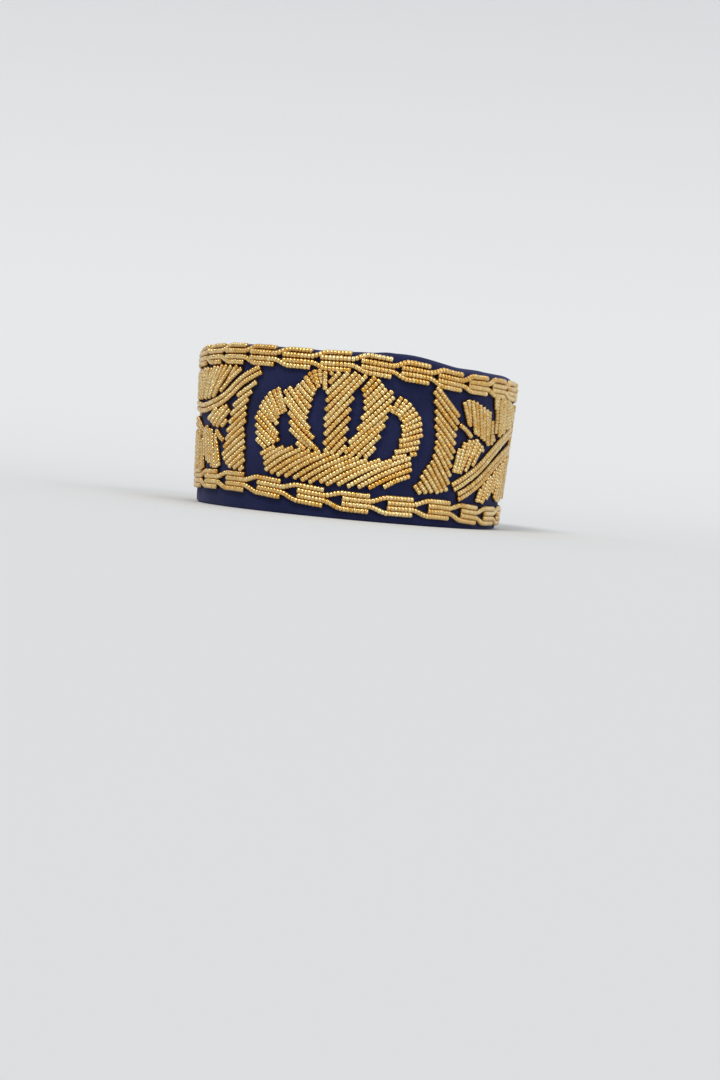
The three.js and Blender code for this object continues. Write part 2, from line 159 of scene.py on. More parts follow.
def grid_faces(rows, cols, first_pole, last_pole, closed_rows):
    """Quads between neighbouring rows and columns, with triangles from an end row to its pole."""
    row = np.arange(rows if closed_rows else rows - 1)[:, None]
    col = np.arange(cols)[None, :]
    up, over = (row + 1) % rows, (col + 1) % cols
    quads = np.stack([row * cols + col, row * cols + over, up * cols + over, up * cols + col], -1)
    faces = quads.reshape(-1, 4).tolist()
    around, onward = np.arange(cols), (np.arange(cols) + 1) % cols
    if first_pole:
        faces += np.stack([onward, around, np.full(cols, rows * cols)], -1).tolist()
    if last_pole:
        end = (rows - 1) * cols
        pole = rows * cols + int(first_pole)
        faces += np.stack([end + around, end + onward, np.full(cols, pole)], -1).tolist()
    return faces


def signed_volume(points, faces):
    """A sixth of the sum of each triangle's triple product."""
    fans = [(f[0], f[i], f[i + 1]) for f in faces for i in range(1, len(f) - 1)]
    a, b, c = (points[np.array(fans)[:, i]] for i in range(3))
    return np.einsum("ij,ij->i", a, np.cross(b, c)).sum() / 6


def cloth(name, grid, nodes, material, poles=()):
    """A closed cloth piece from a grid of rows and columns. poles holds the first point, the last
    point, or both, that the end rows close on. With no poles the rows close on each other."""
    rows, cols = grid.shape[:2]
    points = np.concatenate([grid.reshape(-1, 3), np.reshape(poles, (-1, 3))])
    faces = grid_faces(rows, cols, len(poles) > 0, len(poles) > 1, len(poles) == 0)
    if signed_volume(points, faces) < 0:
        faces = [face[::-1] for face in faces]
    add_piece(name, points, faces, nodes, material)
    print(name, len(points), "points, volume %.0f mm3" % abs(signed_volume(points, faces)))


# %% [markdown]
# ## Materials
#
# A material starts from what the real one is and how it was made. Each number that is the same all
# over is set on the shader's own socket.

# %% Material helpers
def linear(hex_colour):
    """An sRGB hex colour as linear red, green, blue and alpha."""
    rgb = np.array([int(hex_colour[i:i + 2], 16) for i in (1, 3, 5)]) / 255
    value = np.where(rgb <= 0.04045, rgb / 12.92, ((rgb + 0.055) / 1.055) ** 2.4)
    return (*value.tolist(), 1.0)


def node(tree, kind, links=None, **settings):
    """Adds a node. A setting is one of its properties or, failing that, a socket's value."""
    made = tree.nodes.new(kind)
    for key, value in settings.items():
        socket = key.replace("_", " ").title()
        if hasattr(made, key):
            setattr(made, key, value)
        else:
            made.inputs[socket].default_value = value
    for key, source in (links or {}).items():
        tree.links.new(source, made.inputs[key])
    return made


def new_material(name):
    """A new material, its node tree and its shader."""
    material = bpy.data.materials.new(name)
    material.use_nodes = True
    print("material:", name)
    return material, material.node_tree, material.node_tree.nodes["Principled BSDF"]


def set_stop(stop, position, hex_colour):
    """Puts one end of a colour ramp at a position, with its colour."""
    stop.position = position
    stop.color = linear(hex_colour)


def per_metre(millimetres):
    """A texture's scale for a pattern that repeats about every so many millimetres."""
    return 1000 / millimetres


# %% [markdown]
# ### The velvet
#
# The cap is covered in cotton velvet, a cloth with a dense upright pile. Blender's hair could grow
# a real pile, but millions of hairs are wasted on a pile this short. The sheen of the Principled
# shader does the same job, because it brightens a surface where it is seen from the side.

# %% Cotton velvet
# Cotton velvet, woven and dyed navy: dark from the front, with a paler edge where it turns away.
# The pile leans in soft patches where it is handled. Its tufts are about 0.1 mm wide, too fine to
# show, so the grain is drawn at PILE_GRAIN mm.
PILE_GRAIN = 0.7
PILE_PATCH = 16
velvet, tree, shader = new_material("cotton_velvet_navy")
place = node(tree, "ShaderNodeTexCoord").outputs["Object"]
patches = node(tree, "ShaderNodeTexNoise", {"Vector": place}, scale=per_metre(PILE_PATCH), detail=3.0)
grain = node(tree, "ShaderNodeTexNoise", {"Vector": place}, scale=per_metre(PILE_GRAIN), detail=2.0)
dye = node(tree, "ShaderNodeValToRGB", {"Fac": patches.outputs["Fac"]})
set_stop(dye.color_ramp.elements[0], 0.35, "#22284A")
set_stop(dye.color_ramp.elements[1], 0.7, "#2C335A")
speckle = node(tree, "ShaderNodeMix", data_type="RGBA", blend_type="OVERLAY")
tree.links.new(grain.outputs["Fac"], speckle.inputs["Factor"])
tree.links.new(dye.outputs["Color"], speckle.inputs[6])
speckle.inputs[7].default_value = linear("#5A5B86")
pile_height = {"Height": grain.outputs["Fac"]}
pile = node(tree, "ShaderNodeBump", pile_height, strength=0.5, distance=0.25 * MM)
tree.links.new(speckle.outputs[2], shader.inputs["Base Color"])
tree.links.new(pile.outputs["Normal"], shader.inputs["Normal"])
shader.inputs["Roughness"].default_value = 0.95
shader.inputs["Specular IOR Level"].default_value = 0.2
shader.inputs["Sheen Weight"].default_value = 0.35
shader.inputs["Sheen Roughness"].default_value = 0.45
shader.inputs["Sheen Tint"].default_value = linear("#8C8FC0")

# %% [markdown]
# ### The lining cloth
#
# Inside is a smooth woven cloth, which shows as a brighter blue. A weave could be modelled thread by
# thread, but it is only seen in shade, so a fine bump and a slow change of tone are enough.

# %% Woven lining
# Plain-woven filament cloth: smooth, with a low gloss. Its threads are about 0.25 mm apart, too fine
# to show, so they are drawn at LINING_THREADS mm.
LINING_THREADS = 0.6
LINING_PATCH = 30
lining_cloth, tree, shader = new_material("woven_lining_blue")
place = node(tree, "ShaderNodeTexCoord").outputs["Object"]
weave = node(tree, "ShaderNodeTexNoise", {"Vector": place}, scale=per_metre(LINING_THREADS), detail=1.0)
shade = node(tree, "ShaderNodeTexNoise", {"Vector": place}, scale=per_metre(LINING_PATCH), detail=2.0)
tone = node(tree, "ShaderNodeValToRGB", {"Fac": shade.outputs["Fac"]})
set_stop(tone.color_ramp.elements[0], 0.3, "#26335E")
set_stop(tone.color_ramp.elements[1], 0.7, "#36457A")
weave_height = {"Height": weave.outputs["Fac"]}
threads = node(tree, "ShaderNodeBump", weave_height, strength=0.3, distance=0.1 * MM)
tree.links.new(tone.outputs["Color"], shader.inputs["Base Color"])
tree.links.new(threads.outputs["Normal"], shader.inputs["Normal"])
shader.inputs["Roughness"].default_value = 0.5
shader.inputs["Sheen Weight"].default_value = 0.1

# %% [markdown]
# ### The glass of the beads
#
# Each bead is yellow glass with a silvered bore. Light goes through the glass, comes back off the
# silver and goes through the glass again, so the bead shines like gold. Real refraction in
# thousands of beads would be slow and noisy, so the glass is treated as a coloured metal under a
# clear coat. Two attributes of each bead set its colour: tone, how light or dark its glass is, and
# depth, which paints light and shade into it: pale on top, and darkened to amber down its flanks
# and at its ends, where it meets the beads beside it.

# %% Silver-lined glass
# Silver-lined gold glass, drawn as a tube, cut and fire-polished. Painted light and shade: pale on
# top, and mixed to deep amber at the ends and flanks, where the beads meet and shade falls between
# them. The attribute depth says how far a point is down its flank or towards an end, and tone says
# how light or dark this bead's glass is.
bead_glass, tree, shader = new_material("silver_lined_gold_glass")
glass_shade = node(tree, "ShaderNodeAttribute", attribute_name="depth").outputs["Fac"]
glass_tone = node(tree, "ShaderNodeAttribute", attribute_name="tone").outputs["Fac"]
bright = node(tree, "ShaderNodeValToRGB", {"Fac": glass_tone})
set_stop(bright.color_ramp.elements[0], 0.0, "#E4AA3C")
set_stop(bright.color_ramp.elements[1], 1.0, "#FFECAC")
# Painted shade: the colour turns to deep amber as depth grows
shade_to_amber = node(tree, "ShaderNodeMix", {"Factor": glass_shade}, data_type="RGBA")
tree.links.new(bright.outputs["Color"], shade_to_amber.inputs[6])
shade_to_amber.inputs[7].default_value = linear("#9A6602")
tree.links.new(shade_to_amber.outputs[2], shader.inputs["Base Color"])
shader.inputs["Metallic"].default_value = 0.85
shader.inputs["Roughness"].default_value = 0.22
shader.inputs["Coat Weight"].default_value = 0.6
shader.inputs["Coat Roughness"].default_value = 0.06

# %% [markdown]
# ## Strands of beads
#
# A seed bead is a short rounded tube, 3.2 mm across and 2 mm long here. A strand is a line of them on
# a thread. An instancing modifier would do, but each bead also has to lie flat on a curved wall, so
# a strand is first a row of places in (u, v) with a direction, and all the beads of a motif then
# become one mesh in one go.

# %% The seed bead
BEAD_RADIUS = 1.6
BEAD_LENGTH = 2.0
BEAD_SIDES = 10
# The height of a bead's middle above the velvet: less than its radius, because the pile gives way
BEAD_SIT = 1.3
# The distance between two strands side by side
STRAND_PITCH = 3.1
# From one end of a bead to the other: share of the half length, share of the radius, and how far
# the ring is towards an end, from 0 to 1
BEAD_PROFILE = np.array([(-1, 0.86, 1), (-0.6, 0.99, 0), (0.6, 0.99, 0), (1, 0.86, 1)])
# The painted shade at each end of a bead, where it meets the next one
END_SHADE = 0.35
print("a bead is %.1f mm across and %.1f mm long" % (2 * BEAD_RADIUS, BEAD_LENGTH))


def bead_faces(count):
    """Corner numbers of so many beads: bands of quads between the rings, and a flat disc at each
    end. Each bead's are the first bead's, moved on by the number of points before it."""
    rings = len(BEAD_PROFILE)
    bands = np.array(grid_faces(rings, BEAD_SIDES, False, False, False))
    around = np.arange(BEAD_SIDES)
    discs = np.stack([around[::-1], around + (rings - 1) * BEAD_SIDES])
    starts = np.arange(count)[:, None, None] * rings * BEAD_SIDES
    return (starts + bands).reshape(-1, 4).tolist() + (starts + discs).reshape(-1, BEAD_SIDES).tolist()


def unit(vectors):
    """Each vector divided by its length."""
    return vectors / np.linalg.norm(vectors, axis=-1, keepdims=True)


# %% Lay the beads of one piece
# How unevenly they lie: the spread of a bead's height in mm, of the lean of its axis, of its size
# as a share, and of its tone
LIFT_SPREAD = 0.07
LEAN_SPREAD = 0.05
SIZE_SPREAD = 0.03
BEAD_TONE_SPREAD = 0.16


def lay_beads(name, beads, nodes):
    """beads has a row for each bead: u, v, the direction of its thread, its strand's tone, and how
    far it has sunk between the strands beside it. The bead's axis is the thread's direction on the
    wall. A point of a ring is the bead's middle, plus its share of the half length along the axis,
    plus its radius round the axis. Its depth, the painted shade of the glass, is one less the sine of
    its turn up from the flank, or END_SHADE at an end if that is more."""
    u, v, du, dv, tone, sunk = beads.T
    lift = BEAD_SIT - sunk + rng.normal(0, LIFT_SPREAD, len(u))
    centre = on_wall(u, v, lift)
    axis = unit(on_wall(u + du, v + dv, lift) - on_wall(u - du, v - dv, lift))
    outward = on_wall(u, v, lift + 1) - on_wall(u, v, lift - 1)
    axis = unit(axis + rng.normal(0, LEAN_SPREAD, axis.shape))
    side = unit(np.cross(axis, outward))
    outward = np.cross(side, axis)
    turn = 2 * np.pi * (np.arange(BEAD_SIDES) / BEAD_SIDES + rng.random((len(u), 1)))
    size = 1 + rng.normal(0, SIZE_SPREAD, (len(u), 1, 1, 1))
    radial = np.cos(turn)[..., None] * side[:, None] + np.sin(turn)[..., None] * outward[:, None]
    shares, radii, endness = BEAD_PROFILE.T
    points = (
        centre[:, None, None]
        + axis[:, None, None] * (shares * BEAD_LENGTH / 2)[None, :, None, None]
        + radial[:, None] * radii[None, :, None, None] * BEAD_RADIUS * size
    )
    faces = bead_faces(len(u))
    piece = add_piece(name, points, faces, nodes, bead_glass)
    # Painted shade: the glass darkens to amber down each flank and at the ends
    flank_shade = 1 - np.clip(np.sin(turn), 0, 1)
    depth = np.maximum(END_SHADE * endness[None, :, None], flank_shade[:, None, :])
    tones = np.clip(tone + rng.normal(0, BEAD_TONE_SPREAD, len(u)), 0, 1)
    tones = np.repeat(tones, len(BEAD_PROFILE) * BEAD_SIDES)
    for label, values in (("depth", depth.ravel()), ("tone", tones)):
        piece.data.attributes.new(label, "FLOAT", "POINT").data.foreach_set("value", values)
    print(name, len(u), "beads,", len(faces), "faces")


# %% A strand along a path, and a stem of several lanes
STRAND_TONE = 0.5
STRAND_TONE_SPREAD = 0.1
# The direction at a bead is measured this many mm ahead of it and behind it
LOOK = 1


def strand(path):
    """Beads one after another along a path of (u, v), to the nearest whole bead."""
    path = np.asarray(path, float)
    lengths = np.concatenate([[0], np.cumsum(np.hypot(*np.diff(path, axis=0).T))])
    count = max(1, round(lengths[-1] / BEAD_LENGTH))
    start = (lengths[-1] - count * BEAD_LENGTH) / 2
    along = start + (np.arange(count) + 0.5) * BEAD_LENGTH
    at = np.stack([np.interp(along, lengths, column) for column in path.T], -1)
    ahead = np.stack([np.interp(along + LOOK, lengths, column) for column in path.T], -1)
    behind = np.stack([np.interp(along - LOOK, lengths, column) for column in path.T], -1)
    tone = np.full((count, 1), STRAND_TONE + rng.normal(0, STRAND_TONE_SPREAD))
    not_sunk = np.zeros((count, 1))
    return np.hstack([at, unit(ahead - behind), tone, not_sunk])


def smooth_path(points, steps=8):
    """A Catmull-Rom curve: each stretch is a cubic whose slopes come from the points beside it."""
    p = np.asarray(points, float)
    before = np.vstack([p[:1], p[:-2]])
    after = np.vstack([p[2:], p[-1:]])
    a, b = p[:-1, None], p[1:, None]
    slope_a, slope_b = (b - before[:, None]) / 2, (after[:, None] - a) / 2
    t = np.linspace(0, 1, steps, endpoint=False)[None, :, None]
    curve = (2 * a - 2 * b + slope_a + slope_b) * t**3
    curve += (-3 * a + 3 * b - 2 * slope_a - slope_b) * t**2 + slope_a * t + a
    return np.vstack([curve.reshape(-1, 2), p[-1:]])


def stem(lanes, points):
    """Lanes of beads side by side along a curve, offset from it across its direction."""
    curve = smooth_path(points)
    along = unit(np.gradient(curve, axis=0))
    across = np.stack([along[:, 1], -along[:, 0]], -1)
    offsets = (np.arange(lanes) - (lanes - 1) / 2) * STRAND_PITCH
    return np.vstack([strand(curve + across * offset) for offset in offsets])


# %% [markdown]
# ## Filling a shape with strands
#
# The embroiderer fills a petal or a bar with strands side by side, and changes their slant little
# by little. A hatch pattern cut off at an outline would be simpler, but its strands would all be
# parallel. So a shape is given by a few guide strands, and the others are spaced between them.

# %% A fill between guide strands
# Strands that come closer than this can't all lie on the cloth
CROWDED = 2.0
# How far a squeezed strand sinks for each mm that it lacks
SINK = 1.0
# The spread of where a strand starts and ends, and of how far its middle lies to one side, in mm
END_SPREAD = 0.35
BOW_SPREAD = 0.12


def fill(guides, bow=0):
    """Guides are strands in order across the fill, as from u, v to u, v. The strands between them
    are spaced evenly by the distance across at the wider end, and bow to the left by that share of
    their length. Where strands come closer than their own width, every other one sinks by SINK of
    what is missing, and it stops short where they come closer than CROWDED."""
    guides = np.array(guides, float)
    starts, ends = guides[:, :2], guides[:, 2:]
    along = unit((ends - starts)[1:] + (ends - starts)[:-1])
    across = np.stack([-along[:, 1], along[:, 0]], -1)
    at_start = np.abs(np.einsum("ij,ij->i", np.diff(starts, axis=0), across))
    at_end = np.abs(np.einsum("ij,ij->i", np.diff(ends, axis=0), across))
    step = np.maximum(at_start, at_end)
    places = np.concatenate([[0], np.cumsum(step)])
    count = max(1, round(places[-1] / STRAND_PITCH)) + 1
    chosen = np.linspace(0, places[-1], count)
    rows = np.stack([np.interp(chosen, places, column) for column in guides.T], -1)
    which = np.clip(np.searchsorted(places, chosen, side="right") - 1, 0, len(step) - 1)
    pitch = places[-1] / (count - 1)
    near = pitch * at_start[which] / step[which]
    far = pitch * at_end[which] / step[which]
    beads = []
    for i, (u0, v0, u1, v1) in enumerate(rows):
        start, end = np.array([u0, v0]), np.array([u1, v1])
        if i % 2 and near[i] < CROWDED < far[i]:
            start = start + (end - start) * (CROWDED - near[i]) / (far[i] - near[i])
        if i % 2 and far[i] < CROWDED < near[i]:
            end = end + (start - end) * (CROWDED - far[i]) / (near[i] - far[i])
        span = unit(end - start)
        start, end = start + span * rng.normal(0, END_SPREAD), end + span * rng.normal(0, END_SPREAD)
        sideways = bow * math.dist(start, end) + rng.normal(0, BOW_SPREAD)
        middle = (start + end) / 2 + np.array([-span[1], span[0]]) * sideways
        row = strand(smooth_path([start, middle, end]))
        if i % 2:
            share = (np.arange(len(row)) + 0.5) / len(row)
            room = near[i] + (far[i] - near[i]) * share
            row[:, 5] = SINK * np.clip(STRAND_PITCH - room, 0, None)
        beads.append(row)
    return np.vstack(beads)


# How close the middles of two beads may be, in mm, in a fill and in a chain
CLOSEST = 1.75
CLOSEST_IN_CHAIN = 1.5


def thinned(beads, closest=CLOSEST):
    """Leaves out a bead whose middle is closer than this to one that is kept before it."""
    kept = np.zeros(len(beads), bool)
    for i, middle in enumerate(beads[:, :2]):
        before = beads[kept, :2]
        kept[i] = not len(before) or np.hypot(*(before - middle).T).min() > closest
    return beads[kept]


# %% [markdown]
# ## The motifs
#
# The tables give guide strands, read off the photograph after its wall was unrolled flat: a strand
# from (u, v) to (u, v). A texture of beads would be quicker to make, but beads that are laid at the
# slant of the real embroidery make each part of the crown catch the light in its own way.

# %% The crown
CROWN = {
    "base": [
        (-41, 31.5, -33.5, 35.5), (-40, 28, -27, 36), (-38, 22, -17, 35.5), (-28, 20, -4, 35),
        (-12, 18.5, 12, 33.5), (0, 17.8, 28, 33.5), (10, 17.8, 43, 36.5), (20, 18, 42.5, 30),
        (28, 19, 42.5, 26.5)],
    "left_arch": [
        (-45, 38.8, -39.5, 34.8), (-46.2, 43, -36.3, 36.3), (-47, 50, -30.8, 37.5),
        (-45.3, 55.5, -32.5, 44), (-42, 61, -33.3, 49.5), (-38.5, 65.5, -31.5, 53),
        (-34, 68.3, -28.3, 54.8)],
    "left_arm": [
        (-20.3, 38.8, -14, 34), (-24.3, 44.6, -10, 34), (-25, 49.8, -8.3, 35.3),
        (-27.5, 55.5, -10.3, 40.3), (-29.3, 61, -13.8, 46), (-30.3, 66.5, -15.3, 50.5),
        (-27.3, 68.8, -15.3, 55), (-23.8, 69, -14.3, 60), (-21.3, 71.3, -13.3, 63.7),
        (-19, 74.5, -12.3, 67), (-15.7, 78, -11.6, 69.3), (-11.9, 80, -9.6, 69.4),
        (-8.2, 80, -7.4, 69.2)],
    "middle_post": [
        (1.4, 33.4, 6.5, 39.5), (-4.5, 34.8, 6.5, 48.5), (-6, 45, 7, 61), (-6, 49.5, 8, 66.5),
        (-6, 53, 13.5, 77.8), (-6, 62, 9.8, 80), (-6, 70, 2.5, 80), (-5.4, 76.5, -3, 80)],
    "right_crest": [
        (12, 69, 18, 77), (13.5, 63.5, 22.5, 74), (13.5, 57, 26, 70.5), (12, 50.5, 29, 68.8),
        (9, 43.5, 30.5, 66), (4.8, 36.2, 26.5, 58), (7.6, 33.6, 25.5, 53), (11.3, 32.9, 24, 47),
        (15.1, 32.6, 21.5, 40)],
    "right_arch": [
        (28.5, 58.8, 33, 67.5), (31.8, 57.8, 37.5, 65.3), (34, 55, 42, 61.8),
        (35.3, 51.5, 45.3, 57.5), (35.6, 47.5, 46.8, 52.5), (34.8, 43.8, 47, 47.8),
        (33.2, 40.4, 46.2, 44.2), (31.5, 37.3, 45.2, 41.3), (29.8, 34.6, 44.2, 38.6)],
}
# The shapes whose strands bow to one side, by a share of a strand's length
BOWS = {"base": 0.03, "left_arm": -0.015}
print("guide strands of the crown:", sum(len(guides) for guides in CROWN.values()))

# %% The pillars, leaves and stems
RIGHT_PILLAR = [
    (51, 77.5, 69.5, 62.5), (51.5, 72, 69.3, 57), (53, 64.5, 69.3, 51), (54, 58.5, 69, 45.5),
    (55.8, 52, 68.8, 39), (56.5, 46.5, 68.5, 32), (56, 41, 68.5, 26), (54.5, 36.5, 67.5, 20.5),
    (51.5, 31.5, 62.5, 19), (48.5, 26.5, 56.5, 18), (46, 21.8, 50, 17.6)]
LEFT_PILLAR = [
    (-61.8, 61.5, -48.7, 69.2), (-64.5, 56.5, -51, 65), (-66.5, 51, -53.3, 60),
    (-68, 45.5, -54.3, 55.5), (-69.8, 39.5, -54.5, 50.5), (-71.5, 33, -54.8, 44.5),
    (-72, 27, -54.8, 38.5), (-68, 23, -54.3, 32.8), (-62, 21.8, -53.5, 27.5),
    (-57, 21.2, -53.5, 23.5)]
LEAVES = {
    "upper_leaf": [
        (72.5, 71, 78.8, 58.3), (76, 72.5, 82.8, 54.6), (82, 71.5, 88, 52.5),
        (87.5, 70.5, 93.2, 51), (92, 69, 97.2, 49.3), (96.5, 67, 100.4, 48),
        (100.3, 62.8, 103, 49), (103.2, 58.5, 105.8, 50.9)],
    "fan_leaf": [
        (71, 31, 73.3, 44.5), (74, 30.3, 77.5, 49), (77.3, 30.6, 83, 50.8), (80.8, 32, 88.3, 50.3),
        (84.5, 34.6, 92.5, 48.7), (88.3, 38.6, 95.3, 46)],
    "long_leaf": [
        (100.8, 77.3, 103.4, 69), (104, 77.3, 109.2, 55.3), (108, 77, 113.3, 54.3),
        (113.5, 76.5, 118.8, 57), (119.5, 76, 125, 58.7), (126, 75.3, 131, 60.3),
        (132.5, 74, 137, 62.3), (137.5, 72, 140.3, 65)],
    "low_leaf": [
        (94.5, 14.5, 97, 23), (99, 15, 103, 28), (104, 16.5, 110, 32.2), (109, 19, 116.5, 35.8),
        (113.5, 22, 121, 37.6)],
    "back_leaf": [
        (118.6, 18, 125.8, 39), (123.8, 16.5, 130.3, 41), (130, 16.8, 135.5, 42.3),
        (137, 19, 140.5, 42.5)],
}
FRONT_LEFT_LEAVES = {
    "upper_leaf": [
        (-60.5, 76, -77.5, 64.3), (-64.5, 78, -83, 62), (-71, 78, -88, 61), (-78, 78, -93, 60.3),
        (-85, 77.5, -98, 59.8), (-91, 76.5, -102.5, 59.5)],
    "middle_leaf": [
        (-70, 48.3, -75, 44.7), (-67.2, 52.5, -79.5, 43.8), (-70, 56, -84, 45),
        (-76, 55.3, -89, 46.8), (-81.5, 54.4, -92.5, 47.8)],
    "fan_leaf": [
        (-81, 36.5, -76, 22.3), (-84.5, 40.5, -79.3, 21.5), (-88.3, 42.4, -82.8, 21.3),
        (-92.5, 43.7, -86.5, 21.8), (-97, 44.3, -90.5, 24.5), (-100, 42.5, -95.5, 27.5)],
    "long_leaf": [
        (-95.8, 77, -106.6, 60), (-104, 76.8, -113.5, 59.5), (-111, 76.5, -119.5, 60),
        (-119, 76, -127, 60.5), (-127, 75, -134, 61.3), (-134, 73, -140, 63)],
    "low_leaf": [
        (-98.8, 20, -101.8, 34.5), (-105, 19, -108, 38.5), (-111.5, 19.5, -116, 40.5),
        (-115.2, 20.5, -120.3, 41)],
    "back_leaf": [(-u0, v0, -u1, v1) for u0, v0, u1, v1 in LEAVES["back_leaf"]],
}
# The number of lanes, then the path
STEMS = {
    "thorn": (1, [(71.5, 57.6), (75.3, 55.9), (78.7, 53.8), (81.3, 51.9)]),
    "upper_stem": (2, [
        (71.5, 22.5), (80, 27), (92, 34.3), (104, 43), (116, 50.3), (130, 55.8), (143.5, 58.5)]),
    "lower_stem": (2, [
        (76.5, 17.5), (84, 21), (94, 26.8), (104, 33.5), (116, 40.3), (130, 45.5), (143.5, 47.8)]),
}
FRONT_LEFT_STEMS = {
    "thorn": (1, [(-72.5, 36.3), (-77, 39), (-81.5, 42.2)]),
    "upper_stem": (2, [
        (-45.5, 76.5), (-52, 73.5), (-60, 69.2), (-68, 63.5), (-77, 59), (-90, 55.8),
        (-104, 54.5), (-124, 56), (-143.5, 57.5)]),
    "lower_stem": (2, [(-104, 41), (-110, 43.8), (-118, 45.9), (-130, 47.2), (-143.5, 47.8)]),
}
print("guide strands of the leaves:", sum(len(guides) for guides in LEAVES.values()), "on the right,",
      sum(len(guides) for guides in FRONT_LEFT_LEAVES.values()), "on the left")

# %% [markdown]
# ## The chains
#
# Each link is four lanes of beads. The inner two lanes open outwards past the link and become the
# outer two of the next, so the strands overlap like a plait and leave an eye of velvet between two
# links. One strand is therefore a straight run, a rise and another straight run.

# %% Lay the chains
LANE_PITCH = 2.8
# The straight run of a link, as a share of the distance from one link to the next
LINK_SHARE = 0.57
# The number of links, where the first one starts, how early a strand starts before its link as a
# share of the distance between links, and the height of the middle line by the turn in degrees
CHAINS = {
    "upper_chain": (28, 14.0, 0.17, [
        (-180, 82.2), (-35, 84), (-1, 84.2), (24, 81), (60, 81.6), (180, 82.2)]),
    "lower_chain": (24, 7.0, 0.0, [
        (-180, 11.3), (-100, 13.5), (-38, 14.8), (12, 9.6), (38, 9.8), (62, 8), (180, 11.3)]),
}


def chain_height(name, u):
    """The height of a chain's middle line at a distance u round the wall."""
    heights = CHAINS[name][-1]
    return eased(heights, angle_at(u))


def chain_beads(name):
    """A strand starts half a lane from the middle line. Past its link it eases out to one and a
    half lanes, and it ends where the next link ends. Each has its mirror below the line."""
    links, first, lead = CHAINS[name][:3]
    period = PERIMETER / links
    share = np.linspace(-lead, 1 + LINK_SHARE, 33)
    rise = np.clip((share - LINK_SHARE) / (1 - LINK_SHARE), 0, 1)
    away = LANE_PITCH * (0.5 + rise * rise * (3 - 2 * rise))
    beads = []
    for link in range(links):
        u = first + (link + share) * period
        for side in (1, -1):
            beads.append(strand(np.stack([u, chain_height(name, u) + side * away], -1)))
    return np.vstack(beads)


chain_pieces = {name: thinned(chain_beads(name), CLOSEST_IN_CHAIN) for name in CHAINS}
for name, beads in chain_pieces.items():
    lay_beads("beads_" + name, beads, [name])

# %% [markdown]
# ## The crowns, pillars and sprays
#
# The photograph shows the front. The back repeats it, turned over at the middle of each side, which
# is how such a cap is usually patterned. An upright stalk stands in the middle of each side. The
# fills run right up to the chains, as the strands of the real ones do, and the beads past that are
# left off. A cut with a Boolean modifier would leave half beads, so whole beads are kept or dropped
# before anything becomes a mesh.

# %% Lay the motifs
CHAIN_HALF = 2 * LANE_PITCH
# How far past the edge of a chain the middle of a bead may lie
UNDER_LOWER_CHAIN = 0.1
UNDER_UPPER_CHAIN = 0.4


def between_chains(beads):
    """Leaves out the beads that would lie on a chain."""
    low = chain_height("lower_chain", beads[:, 0]) + CHAIN_HALF - UNDER_LOWER_CHAIN
    high = chain_height("upper_chain", beads[:, 0]) - CHAIN_HALF + UNDER_UPPER_CHAIN
    return beads[(beads[:, 1] > low) & (beads[:, 1] < high)]


def turned(guides, turn):
    """The same guides with each u turned over to another quarter of the wall."""
    return [(turn(u0), v0, turn(u1), v1) for u0, v0, u1, v1 in guides]


motifs = []


def lay_motif(name, parts, nodes):
    """Lays one piece from its fills and stems, and notes its beads for the velvet under them."""
    beads = thinned(between_chains(np.vstack(parts)))
    motifs.append(beads)
    lay_beads(name, beads, nodes)


for side, shift in (("front", 0), ("back", PERIMETER / 2)):
    parts = []
    for name, guides in CROWN.items():
        parts.append(fill(turned(guides, lambda u: u + shift), BOWS.get(name, 0)))
    lay_motif("beads_crown_" + side, parts, ["crown_emblem_" + side])

# %% Lay the pillars and sprays in each quarter
QUARTERS = {
    "front_right": lambda u: u,
    "front_left": lambda u: -u,
    "back_right": lambda u: PERIMETER / 2 - u,
    "back_left": lambda u: u - PERIMETER / 2,
}
for quarter, turn in QUARTERS.items():
    if quarter == "front_left":
        pillar, leaves, stems = LEFT_PILLAR, FRONT_LEFT_LEAVES, FRONT_LEFT_STEMS
    else:
        pillar = turned(RIGHT_PILLAR, turn)
        leaves = {name: turned(guides, turn) for name, guides in LEAVES.items()}
        stems = {}
        for name, (lanes, path) in STEMS.items():
            stems[name] = (lanes, [(turn(u), v) for u, v in path])
    lay_motif("beads_pillar_" + quarter, [fill(pillar)], ["pillar_" + quarter])
    parts = [stem(lanes, path) for lanes, path in stems.values()]
    parts += [fill(guides) for guides in leaves.values()]
    lay_motif("beads_spray_" + quarter, parts, [name + "_" + quarter for name in (*leaves, *stems)])

# %% Lay the stalk in the middle of each side
STALK_LANES = 2
STALK_FOOT = 19
STALK_TOP = 74
STALK_MIDDLE = (STALK_FOOT + STALK_TOP) / 2
for side, u in (("right", PERIMETER / 4), ("left", -PERIMETER / 4)):
    path = [(u, STALK_FOOT), (u, STALK_MIDDLE), (u, STALK_TOP)]
    lay_motif("beads_stalk_" + side, [stem(STALK_LANES, path)], ["side_stalk_" + side])

# %% [markdown]
# ## The velvet wall
#
# The wall is one closed grid: out over the rounded hem, up the wall, round the shoulder, down into
# the seam of the top and back down inside. A Solidify modifier would give a plain sheet the same
# wall, but not its rolled edges.
#
# The thread pulls the cloth in under the beads, so it puffs up a little in between. Sculpting could
# show that. Here the beads are counted into a grid and blurred, which gives how closely each place
# is sewn down, and the wall is pushed out where it isn't.

# %% How closely the wall is sewn down
WALL_COLS = 480
WALL_ROWS = 76
# The outer face starts at this height, above the rolled hem
HEM_ROLL = 1.2
# How far the thread of a bead pulls at the cloth round it
STITCH_REACH = 2.2
wall_top = WALL_HEIGHT - SHOULDER_RADIUS + SHOULDER_RADIUS * math.pi / 2


